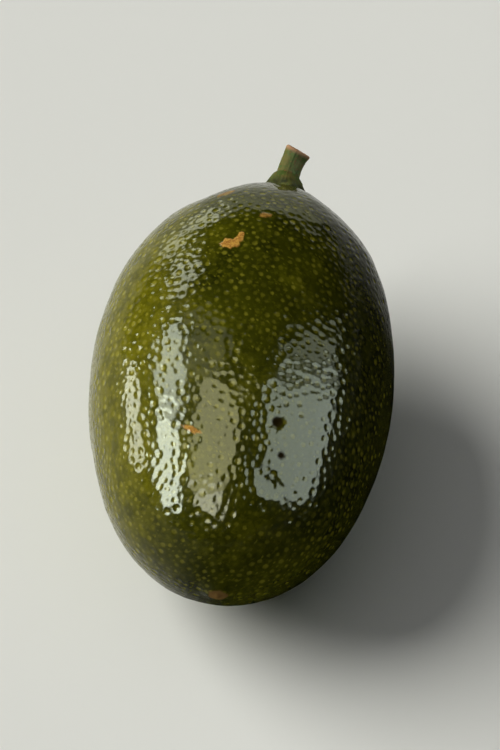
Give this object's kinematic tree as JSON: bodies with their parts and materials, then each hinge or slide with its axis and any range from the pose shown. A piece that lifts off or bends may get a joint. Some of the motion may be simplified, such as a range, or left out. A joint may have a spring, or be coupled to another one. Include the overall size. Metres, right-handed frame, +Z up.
{
  "type": "finger lime",
  "caption": "Finger lime as picked, an egg-shaped dark green citrus fruit with its cut stem stub, lying on a small flat spot.",
  "frame": {"origin": "centre of the small flat spot that the fruit lies on", "axes": "+Y along the fruit towards its stem end, +Z up"},
  "size_m": [0.0375, 0.0636, 0.0365],
  "materials": {
    "rind": "satin",
    "stalk": "matte"
  },
  "bodies": {
    "root": {"fruit": "rind", "stem_stub": "stalk"}
  },
  "joints": []
}
